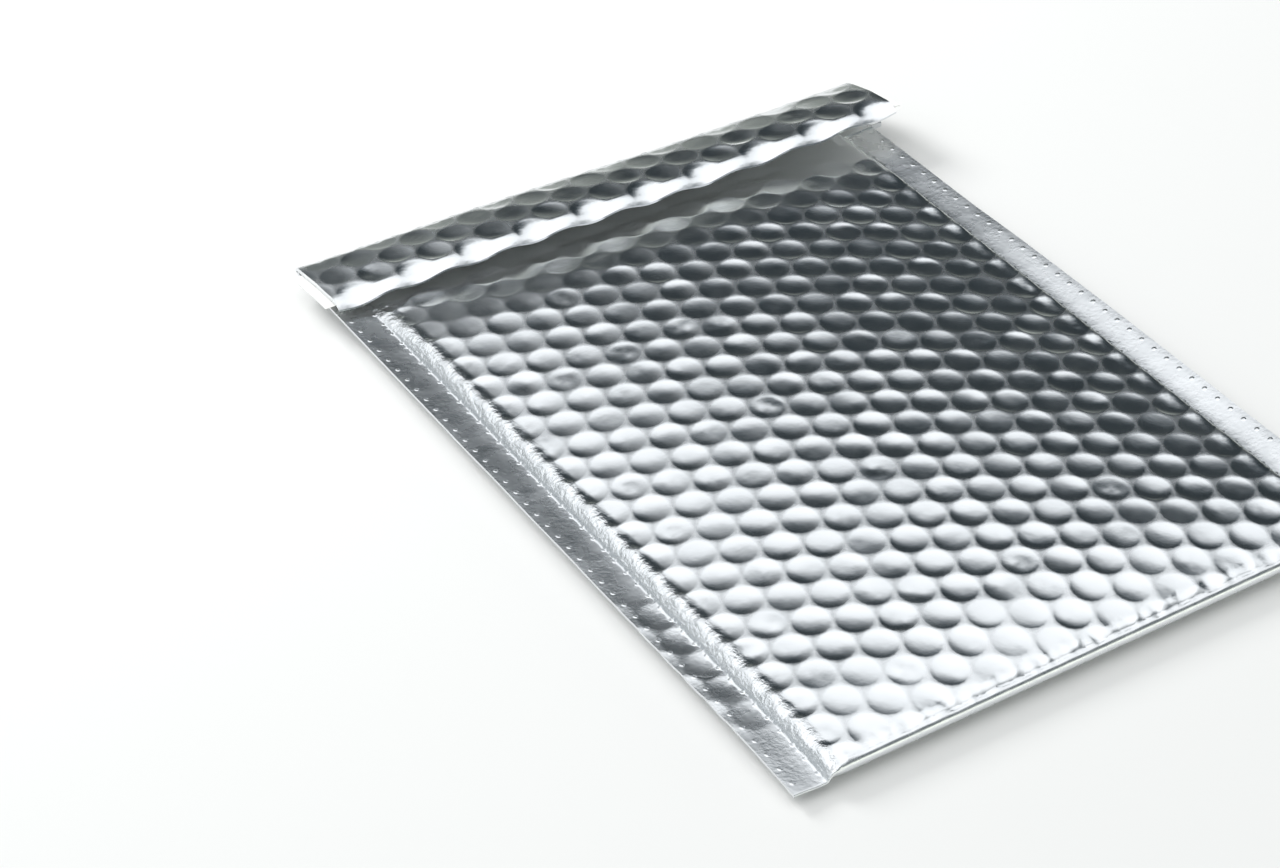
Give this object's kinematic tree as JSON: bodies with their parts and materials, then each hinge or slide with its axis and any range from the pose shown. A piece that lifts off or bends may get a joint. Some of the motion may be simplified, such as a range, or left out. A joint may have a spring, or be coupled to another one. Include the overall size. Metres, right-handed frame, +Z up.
{
  "type": "padded envelope",
  "caption": "Self-seal padded mailing envelope of silver metallised bubble film, folded at the bottom, welded along both sides, with its flap folded loosely over the mouth.",
  "frame": {"origin": "under the middle of the envelope, on the surface that its back lies on", "axes": "+X across the width, +Y along the length towards the flap fold, +Z up out of the front panel"},
  "size_m": [0.186, 0.2546, 0.013],
  "materials": {
    "metallised_film": "satin metallised plastic film",
    "adhesive": "tacky, slightly yellow",
    "liner_paper": "smooth silicone-coated paper"
  },
  "bodies": {
    "root": {"envelope": "metallised_film", "adhesive_strip": "adhesive", "release_liner": "liner_paper"}
  },
  "joints": []
}
